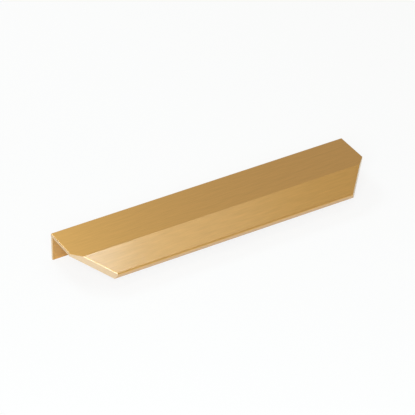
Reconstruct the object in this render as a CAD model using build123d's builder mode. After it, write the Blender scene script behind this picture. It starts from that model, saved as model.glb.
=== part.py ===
from build123d import *
import os
from math import cos, radians, sin, tan

# A profile handle: one length of metal section that hooks over the top edge of a drawer front.
# X runs along the handle, -Y points out of the drawer front and +Z points up.
# The origin lies midway between the two screw holes, on the flange's inner face.

# Sizes in millimetres, angles in degrees. Depths run forwards from the flange's outer back face.
length = 200.0  # end to end
overall_height = 18.5  # top face to the flange's lower edge
overall_depth = 45.3  # back face to the lip's front edge, before that edge is rounded
crease_depth = 29.7  # back face to the crease where the lip turns down
lip_angle = 28.0  # slope of the lip below level
mitre_angle = 43.3  # plan angle between a mitred end and a square end
plate_thickness = 2.0
flange_thickness = 1.5
lip_thickness = 4.6
front_radius = 1.2  # rounding along the lip's front edge, where fingers rub
root_radius = 0.4  # inside corner between flange and plate
corner_radius = 0.5  # the section's other outer corners
end_break = 0.4  # rounding round the cut ends

# Screw holes in the flange, countersunk from the back
hole_inset = 20.0  # end of the handle to a hole's centre
hole_drop = 8.5  # underside of the plate to a hole's centre
hole_diameter = 4.0
countersink_diameter = 6.5
countersink_angle = 90.0

# Levels and places that follow from the sizes above
underside_z = hole_drop
top_z = underside_z + plate_thickness
flange_bottom_z = top_z - overall_height
back_y = flange_thickness
crease_y = back_y - crease_depth
front_y = back_y - overall_depth
hole_spacing = length - 2 * hole_inset

# The lip's two faces are parallel, so its underside leaves the plate's some way behind the crease
slope = radians(lip_angle)
lip_front_z = top_z - (crease_y - front_y) * tan(slope)
lip_bottom_y = front_y + lip_thickness * sin(slope)
lip_bottom_z = lip_front_z - lip_thickness * cos(slope)
bend_y = crease_y + (lip_thickness - plate_thickness * cos(slope)) / sin(slope)

# The mitres start at that bend and run in to the front edge
mitre_inset = (bend_y - front_y) * tan(radians(mitre_angle))

# Corners of the section, as (y, z)
back_top = (back_y, top_z)
crease = (crease_y, top_z)
lip_front = (front_y, lip_front_z)
lip_bottom = (lip_bottom_y, lip_bottom_z)
bend = (bend_y, underside_z)
root = (0, underside_z)
flange_inner = (0, flange_bottom_z)
flange_outer = (back_y, flange_bottom_z)

# The sharp corners to round, each with its radius
corner_roundings = {
    lip_front: front_radius,
    root: root_radius,
    back_top: corner_radius,
    lip_bottom: corner_radius,
    flange_inner: corner_radius,
    flange_outer: corner_radius,
}

with BuildPart() as profile_handle:
    # The section: flange, plate and sloping lip in one outline
    with BuildSketch(Plane.YZ) as section:
        with BuildLine():
            Polyline(
                back_top, crease, lip_front, lip_bottom, bend, root, flange_inner, flange_outer, close=True
            )
        make_face()
        for place, radius in corner_roundings.items():
            fillet(section.vertices().sort_by_distance(place)[0], radius)
    extrude(amount=length / 2, both=True)

    # The ends: square across the plate and flange, mitred across the lip
    with BuildSketch(Plane.XY.offset(flange_bottom_z)):
        with BuildLine():
            Polyline(
                (0, back_y),
                (length / 2, back_y),
                (length / 2, bend_y),
                (length / 2 - mitre_inset, front_y),
                (0, front_y),
            )
            mirror(about=Plane.YZ)
        make_face()
    extrude(amount=overall_height, mode=Mode.INTERSECT)

    # The cut ends are the only flat faces that look along the handle at all
    cut_ends = profile_handle.faces().filter_by(lambda face: abs(face.normal_at().X) > 0.1)
    fillet(cut_ends.edges(), end_break)

    # Screw holes
    with Locations(Plane((0, back_y, 0), x_dir=(1, 0, 0), z_dir=(0, 1, 0))):
        with GridLocations(hole_spacing, 0, 2, 1):
            CounterSinkHole(
                hole_diameter / 2, countersink_diameter / 2, flange_thickness, countersink_angle
            )

profile_handle.part.label = "profile_handle"
os.makedirs("parts", exist_ok=True)
export_step(profile_handle.part, "parts/profile_handle.step")
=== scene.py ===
"""A brushed brass profile handle for a drawer front: its finish and the studio it is shown in."""

from math import cos, radians, sin

import bmesh
import bpy
from bpy.props import FloatProperty, FloatVectorProperty, PointerProperty
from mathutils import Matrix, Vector


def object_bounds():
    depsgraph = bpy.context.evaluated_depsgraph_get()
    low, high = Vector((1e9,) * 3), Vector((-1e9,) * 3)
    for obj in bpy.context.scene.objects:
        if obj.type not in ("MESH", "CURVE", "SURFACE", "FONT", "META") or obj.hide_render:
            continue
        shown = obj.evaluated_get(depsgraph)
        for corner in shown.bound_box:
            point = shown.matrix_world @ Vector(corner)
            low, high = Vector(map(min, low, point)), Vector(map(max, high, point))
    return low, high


bl_info = {
    "name": "Profile Handle",
    "version": (1, 0, 0),
    "blender": (4, 5, 0),
    "location": "3D View > Sidebar > Handle",
    "description": "Gives a profile handle its brushed brass finish and sets a studio round it",
    "category": "Object",
}

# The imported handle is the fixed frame: metres, X along the handle, -Y towards the hand, +Z up
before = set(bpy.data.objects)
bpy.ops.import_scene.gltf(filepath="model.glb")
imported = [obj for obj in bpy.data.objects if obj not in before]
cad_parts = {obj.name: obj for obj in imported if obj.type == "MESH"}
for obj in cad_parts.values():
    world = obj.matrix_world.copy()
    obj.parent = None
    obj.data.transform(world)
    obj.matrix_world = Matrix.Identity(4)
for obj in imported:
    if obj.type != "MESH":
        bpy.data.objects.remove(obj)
cad_low, cad_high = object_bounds()
cad_middle = (cad_low + cad_high) / 2

HANDLE_NODE = "profile_handle"

# Brushing: how rich its noise is, the bands' part in it, and the levels of the tone's two ends
LINE_DETAIL = 3.0
BAND_PART = 0.5
DEEPEST_NOISE = 0.3
LIGHTEST_NOISE = 0.7

# The lip's mitres in plan, and its slope below level
MITRE_ANGLE = radians(43.3)
LIP_SLOPE = radians(28.0)

# Faces are told apart by how far their normals lean one way, from none of a look to all of it.
# Both ends are alike, so X is taken without its sign. The square ends lean part of the mitres' way.
END_WAY = (1.0, 0.0, 0.0)
END_LEAN = (0.3, 0.5)
# The mitre and front masks place the painted reflection; the end mask also turns the brush lines
MITRE_WAY = (cos(MITRE_ANGLE), -sin(MITRE_ANGLE), 0.0)
MITRE_LEAN = (0.65, 0.85)
FRONT_WAY = (0.0, -cos(LIP_SLOPE), -sin(LIP_SLOPE))
FRONT_LEAN = (0.9, 0.97)

# Soft boxes: where each hangs, and the length of its sides
BACK_LAMP_PLACE = Vector((-0.10, 0.50, 0.555))
BACK_LAMP_SIDE = 0.22
FRONT_LAMP_PLACE = Vector((-0.42, -0.62, 0.50))
FRONT_LAMP_SIDE = 0.35
TOP_LAMP_PLACE = Vector((0.10, -0.10, 0.60))
TOP_LAMP_SIDE = 0.30
GLOSS_LAMP_PLACE = Vector((0.11, -0.08, 0.555))
GLOSS_LAMP_SIDE = 0.06

FLOOR_HALF_WIDTH = 10.0

# The camera looks at a point this far in front of the handle's back and below its top
AIM_DEPTH = 0.00914
AIM_DROP = 0.01129
SENSOR_WIDTH_MM = 36.0
CLIP_START = 0.01
CLIP_END = 100.0

# The panel takes and shows lengths down to a thousandth of a millimetre
SHORTEST_LENGTH = 0.000001
LENGTH_DIGITS = 6


def colour_setting(name, description, red, green, blue):
    """A colour that the user may change"""
    return FloatVectorProperty(
        name=name,
        description=description,
        subtype="COLOR",
        size=4,
        min=0.0,
        max=1.0,
        default=(red, green, blue, 1.0),
    )


def length_setting(name, description, default):
    """A length that the user may change, in metres"""
    return FloatProperty(
        name=name,
        description=description,
        unit="LENGTH",
        min=SHORTEST_LENGTH,
        precision=LENGTH_DIGITS,
        default=default,
    )


def share_setting(name, description, default):
    """A share from 0 to 1 that the user may change"""
    return FloatProperty(
        name=name, description=description, subtype="FACTOR", min=0.0, max=1.0, default=default
    )


def power_setting(name, description, default):
    """A lamp's power that the user may change, in watts"""
    return FloatProperty(name=name, description=description, unit="POWER", min=0.0, default=default)


class BrassFinishSettings(bpy.types.PropertyGroup):
    """Colours and grain of the brushed brass finish"""

    brass_colour: colour_setting("Brass", "Colour of the evenly brushed metal", 0.882, 0.4965, 0.1265)
    groove_colour: colour_setting("Grooves", "Deeper tone of the brush lines", 0.758, 0.427, 0.108)
    # Painted reflection: a paler colour on the mitres, and a share of it on the lip's front, stands in
    # for the bright floor they mirror
    painted_reflection_colour: colour_setting("Mitres", "Paler metal on the mitred ends", 0.955, 0.695, 0.431)
    front_reflection_share: share_setting("Front face", "Share of that paler metal on the lip's front", 0.33)
    line_length: length_setting("Line length", "Length of one brush line", 0.012)
    line_width: length_setting("Line width", "Width of one brush line", 0.0002)
    line_depth: length_setting("Line depth", "Depth of the brush lines", 0.000003)
    band_length: length_setting("Band length", "Length of the bands that many lines make", 0.012)
    band_width: length_setting("Band width", "Width of the bands that many lines make", 0.0012)
    smooth_roughness: share_setting("Smoothest", "Roughness of the smoothest brushed metal", 0.43)
    coarse_roughness: share_setting("Coarsest", "Roughness of the coarsest brushed metal", 0.50)
    lacquer_weight: share_setting("Lacquer", "How much of the clear lacquer shows", 1.0)
    lacquer_roughness: share_setting("Lacquer roughness", "Roughness of the clear lacquer", 0.195)
    lacquer_ior: FloatProperty(
        name="Lacquer IOR", description="How strongly the clear lacquer mirrors", min=1.0, default=1.8
    )


class StudioSettings(bpy.types.PropertyGroup):
    """Floor, light and camera"""

    floor_colour: colour_setting("Floor", "Colour of the floor", 0.9, 0.9, 0.9)
    floor_glow: share_setting("Floor glow", "Share of the floor's look that is plain white", 0.85)
    mirrored_glow: share_setting("Mirrored glow", "The same share as the metal mirrors it", 0.1)
    room_colour: colour_setting("Room colour", "Colour of the room all round", 1.0, 0.9, 0.73)
    room_level: FloatProperty(
        name="Room", description="Brightness of the room all round", min=0.0, default=0.403
    )
    lamp_colour: colour_setting("Lamp colour", "Colour of the soft boxes", 0.78, 0.924, 1.0)
    back_power: power_setting("Back lamp", "Power of the soft box behind the handle", 1.668)
    front_power: power_setting("Front lamp", "Power of the soft box beside the camera", 5.475)
    top_power: power_setting("Top lamp", "Power of the soft box over the handle", 0.198)
    gloss_power: power_setting("Gloss lamp", "Power of the small box that gleams on the lip", 0.0938)
    camera_azimuth: FloatProperty(
        name="Azimuth",
        description="Turn of the camera about the vertical, from straight in front of the handle",
        subtype="ANGLE",
        default=radians(-30.16),
    )
    camera_elevation: FloatProperty(
        name="Elevation",
        description="Height of the camera above the horizon",
        subtype="ANGLE",
        default=radians(34.96),
    )
    camera_distance: length_setting("Distance", "From the camera to the point it looks at", 1.5891)
    camera_lens: FloatProperty(
        name="Lens", description="Focal length in millimetres", unit="CAMERA", min=10.0, default=231.35
    )


class NodeSketch:
    """Adds nodes to one material's or world's tree and joins them up"""

    def __init__(self, owner):
        owner.use_nodes = True
        self.tree = owner.node_tree
        self.tree.nodes.clear()

    def add(self, kind, inputs=None, **settings):
        node = self.tree.nodes.new(kind)
        for name, value in settings.items():
            setattr(node, name, value)
        for name, value in (inputs or {}).items():
            self.feed(node.inputs[name], value)
        return node

    def feed(self, socket, value):
        if isinstance(value, bpy.types.NodeSocket):
            self.tree.links.new(value, socket)
        else:
            socket.default_value = value


def drawn_out_noise(sketch, place, size):
    """Noise drawn out into lines of this size along X, Y and Z"""
    stretch = sketch.add(
        "ShaderNodeMapping",
        {"Vector": place, "Scale": tuple(1 / side for side in size)},
    )
    noise = sketch.add(
        "ShaderNodeTexNoise",
        {"Vector": stretch.outputs["Vector"], "Scale": 1.0, "Detail": LINE_DETAIL},
    )
    return noise.outputs["Fac"]


def folded_normal(sketch, normal):
    """The normal with X made positive, which is the same at both ends of the handle"""
    parts = sketch.add("ShaderNodeSeparateXYZ", {"Vector": normal})
    across = sketch.add("ShaderNodeMath", {0: parts.outputs["X"]}, operation="ABSOLUTE")
    folded = sketch.add(
        "ShaderNodeCombineXYZ",
        {"X": across.outputs["Value"], "Y": parts.outputs["Y"], "Z": parts.outputs["Z"]},
    )
    return folded.outputs["Vector"]


def lean_share(sketch, normal, way, lean, most=1.0):
    """Up to most on the faces that look this way, 0 on the others"""
    towards = sketch.add("ShaderNodeVectorMath", {0: normal, 1: way}, operation="DOT_PRODUCT")
    share = sketch.add(
        "ShaderNodeMapRange",
        {"Value": towards.outputs["Value"], "From Min": lean[0], "From Max": lean[1], "To Max": most},
    )
    return share.outputs["Result"]


def brushed_brass(settings):
    """Lacquered satin brass, brushed along the handle, with a painted reflection that makes the mitres
    and the lip's front paler
    """
    material = bpy.data.materials.new("brushed_brass")
    sketch = NodeSketch(material)
    spot = sketch.add("ShaderNodeTexCoord")
    place = spot.outputs["Object"]
    normal = folded_normal(sketch, spot.outputs["Normal"])
    end = lean_share(sketch, normal, END_WAY, END_LEAN)
    mitre = lean_share(sketch, normal, MITRE_WAY, MITRE_LEAN)
    front = lean_share(sketch, normal, FRONT_WAY, FRONT_LEAN, settings.front_reflection_share)
    # Painted reflection: a paler colour on the mitres and, in a smaller share, on the lip's front,
    # where they mirror the bright floor
    mitre_reflection_share = sketch.add("ShaderNodeMath", {0: end, 1: mitre}, operation="MINIMUM")
    painted_reflection_share = sketch.add(
        "ShaderNodeMath",
        {0: mitre_reflection_share.outputs["Value"], 1: front},
        operation="MAXIMUM",
    )

    # Brush lines run along X on the long faces, and level along the cut on the ends
    length, width = settings.line_length, settings.line_width
    lines = sketch.add(
        "ShaderNodeMix",
        {
            "Factor": end,
            "A": drawn_out_noise(sketch, place, (length, width, width)),
            "B": drawn_out_noise(sketch, place, (length, length, width)),
        },
        data_type="FLOAT",
    )

    # Many lines together make the broader bands that show from a step away
    band = (settings.band_length, settings.band_width, settings.band_width)
    noise = sketch.add(
        "ShaderNodeMix",
        {"Factor": BAND_PART, "A": lines.outputs["Result"], "B": drawn_out_noise(sketch, place, band)},
        data_type="FLOAT",
    )
    tone = sketch.add(
        "ShaderNodeMapRange",
        {"Value": noise.outputs["Result"], "From Min": DEEPEST_NOISE, "From Max": LIGHTEST_NOISE},
    )
    brushed_colour = sketch.add(
        "ShaderNodeMix",
        {
            "Factor": tone.outputs["Result"],
            "A": tuple(settings.groove_colour),
            "B": tuple(settings.brass_colour),
        },
        data_type="RGBA",
    )
    # The painted reflection mixes the paler colour over the brushed brass
    colour = sketch.add(
        "ShaderNodeMix",
        {
            "Factor": painted_reflection_share.outputs["Value"],
            "A": brushed_colour.outputs["Result"],
            "B": tuple(settings.painted_reflection_colour),
        },
        data_type="RGBA",
    )
    roughness = sketch.add(
        "ShaderNodeMapRange",
        {
            "Value": tone.outputs["Result"],
            "To Min": settings.coarse_roughness,
            "To Max": settings.smooth_roughness,
        },
    )
    grooves = sketch.add(
        "ShaderNodeBump",
        {"Height": lines.outputs["Result"], "Strength": 1.0, "Distance": settings.line_depth},
    )
    metal = sketch.add(
        "ShaderNodeBsdfPrincipled",
        {
            "Base Color": colour.outputs["Result"],
            "Metallic": 1.0,
            "Roughness": roughness.outputs["Result"],
            "Normal": grooves.outputs["Normal"],
            "Coat Weight": settings.lacquer_weight,
            "Coat Roughness": settings.lacquer_roughness,
            "Coat IOR": settings.lacquer_ior,
        },
    )
    sketch.add("ShaderNodeOutputMaterial", {"Surface": metal.outputs["BSDF"]})
    return material


class HANDLE_OT_brass_finish(bpy.types.Operator):
    """Gives the handle its brushed brass finish"""

    bl_idname = "handle.brass_finish"
    bl_label = "Brush the Brass"

    def execute(self, context):
        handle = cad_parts[HANDLE_NODE]
        handle.material_slots[0].material = brushed_brass(context.scene.brass_finish)
        return {"FINISHED"}


def floor_material(settings):
    """Matt white with a soft shadow, and a share of plain white in the picture and in the metal"""
    material = bpy.data.materials.new("studio_floor")
    sketch = NodeSketch(material)
    rays = sketch.add("ShaderNodeLightPath")
    mirrored = sketch.add(
        "ShaderNodeMath",
        {0: rays.outputs["Is Glossy Ray"], 1: rays.outputs["Is Transmission Ray"]},
        operation="MAXIMUM",
    )
    mirrored_share = sketch.add(
        "ShaderNodeMath",
        {0: mirrored.outputs["Value"], 1: settings.mirrored_glow},
        operation="MULTIPLY",
    )
    share = sketch.add(
        "ShaderNodeMath",
        {
            0: rays.outputs["Is Camera Ray"],
            1: settings.floor_glow,
            2: mirrored_share.outputs["Value"],
        },
        operation="MULTIPLY_ADD",
    )
    paint = sketch.add("ShaderNodeBsdfDiffuse", {"Color": tuple(settings.floor_colour)})
    white = sketch.add("ShaderNodeEmission", {"Strength": 1.0})
    surface = sketch.add(
        "ShaderNodeMixShader",
        {0: share.outputs["Value"], 1: paint.outputs["BSDF"], 2: white.outputs["Emission"]},
    )
    sketch.add("ShaderNodeOutputMaterial", {"Surface": surface.outputs["Shader"]})
    return material


def add_floor(settings):
    """A level square under the handle"""
    mesh = bpy.data.meshes.new("studio_floor")
    shape = bmesh.new()
    bmesh.ops.create_grid(shape, x_segments=1, y_segments=1, size=FLOOR_HALF_WIDTH)
    bmesh.ops.translate(shape, vec=(cad_middle.x, cad_middle.y, cad_low.z), verts=shape.verts)
    shape.to_mesh(mesh)
    shape.free()
    mesh.materials.append(floor_material(settings))
    floor = bpy.data.objects.new("studio_floor", mesh)
    bpy.context.scene.collection.objects.link(floor)


def add_room(settings):
    """An even, pale room all round"""
    world = bpy.data.worlds.new("studio_room")
    sketch = NodeSketch(world)
    room = sketch.add(
        "ShaderNodeBackground",
        {"Color": tuple(settings.room_colour), "Strength": settings.room_level},
    )
    sketch.add("ShaderNodeOutputWorld", {"Surface": room.outputs["Background"]})
    bpy.context.scene.world = world


def add_lamp(name, place, side, colour, power):
    """A square soft box that hangs at place and shines on the handle"""
    light = bpy.data.lights.new(name, "AREA")
    light.shape = "SQUARE"
    light.size = side
    light.color = colour[:3]
    light.energy = power
    lamp = bpy.data.objects.new(name, light)
    lamp.location = place
    lamp.rotation_euler = (cad_middle - place).to_track_quat("-Z", "Y").to_euler()
    lamp.visible_camera = False
    bpy.context.scene.collection.objects.link(lamp)


def add_camera(settings):
    """A long lens that looks down on the handle from its front left"""
    camera = bpy.data.cameras.new("studio_camera")
    camera.sensor_fit = "HORIZONTAL"
    camera.sensor_width = SENSOR_WIDTH_MM
    camera.lens = settings.camera_lens
    camera.clip_start = CLIP_START
    camera.clip_end = CLIP_END
    turn, rise = settings.camera_azimuth, settings.camera_elevation
    back = Vector((sin(turn) * cos(rise), -cos(turn) * cos(rise), sin(rise)))
    aim = Vector((cad_middle.x, cad_high.y - AIM_DEPTH, cad_high.z - AIM_DROP))
    stand = bpy.data.objects.new("studio_camera", camera)
    stand.location = aim + back * settings.camera_distance
    stand.rotation_euler = back.to_track_quat("Z", "Y").to_euler()
    bpy.context.scene.collection.objects.link(stand)
    bpy.context.scene.camera = stand


class HANDLE_OT_studio(bpy.types.Operator):
    """Sets the floor, the light and the camera round the handle"""

    bl_idname = "handle.studio"
    bl_label = "Set the Studio"

    def execute(self, context):
        settings = context.scene.handle_studio
        colour = settings.lamp_colour
        add_floor(settings)
        add_room(settings)
        add_lamp("back_lamp", BACK_LAMP_PLACE, BACK_LAMP_SIDE, colour, settings.back_power)
        add_lamp("front_lamp", FRONT_LAMP_PLACE, FRONT_LAMP_SIDE, colour, settings.front_power)
        add_lamp("top_lamp", TOP_LAMP_PLACE, TOP_LAMP_SIDE, colour, settings.top_power)
        add_lamp("gloss_lamp", GLOSS_LAMP_PLACE, GLOSS_LAMP_SIDE, colour, settings.gloss_power)
        add_camera(settings)
        context.scene.view_settings.view_transform = "Standard"
        return {"FINISHED"}


class HANDLE_PT_sidebar(bpy.types.Panel):
    """Lists the handle's tools and their settings"""

    bl_idname = "HANDLE_PT_sidebar"
    bl_label = "Profile Handle"
    bl_space_type = "VIEW_3D"
    bl_region_type = "UI"
    bl_category = "Handle"

    def draw(self, context):
        groups = (
            (HANDLE_OT_brass_finish, context.scene.brass_finish),
            (HANDLE_OT_studio, context.scene.handle_studio),
        )
        for tool, settings in groups:
            box = self.layout.box()
            for name in settings.__annotations__:
                box.prop(settings, name)
            box.operator(tool.bl_idname)


classes = (
    BrassFinishSettings,
    StudioSettings,
    HANDLE_OT_brass_finish,
    HANDLE_OT_studio,
    HANDLE_PT_sidebar,
)


def register():
    for entry in classes:
        bpy.utils.register_class(entry)
    bpy.types.Scene.brass_finish = PointerProperty(type=BrassFinishSettings)
    bpy.types.Scene.handle_studio = PointerProperty(type=StudioSettings)


def unregister():
    del bpy.types.Scene.handle_studio
    del bpy.types.Scene.brass_finish
    for entry in reversed(classes):
        bpy.utils.unregister_class(entry)


def main():
    register()
    bpy.ops.handle.brass_finish()
    bpy.ops.handle.studio()


if __name__ == "__main__":
    main()
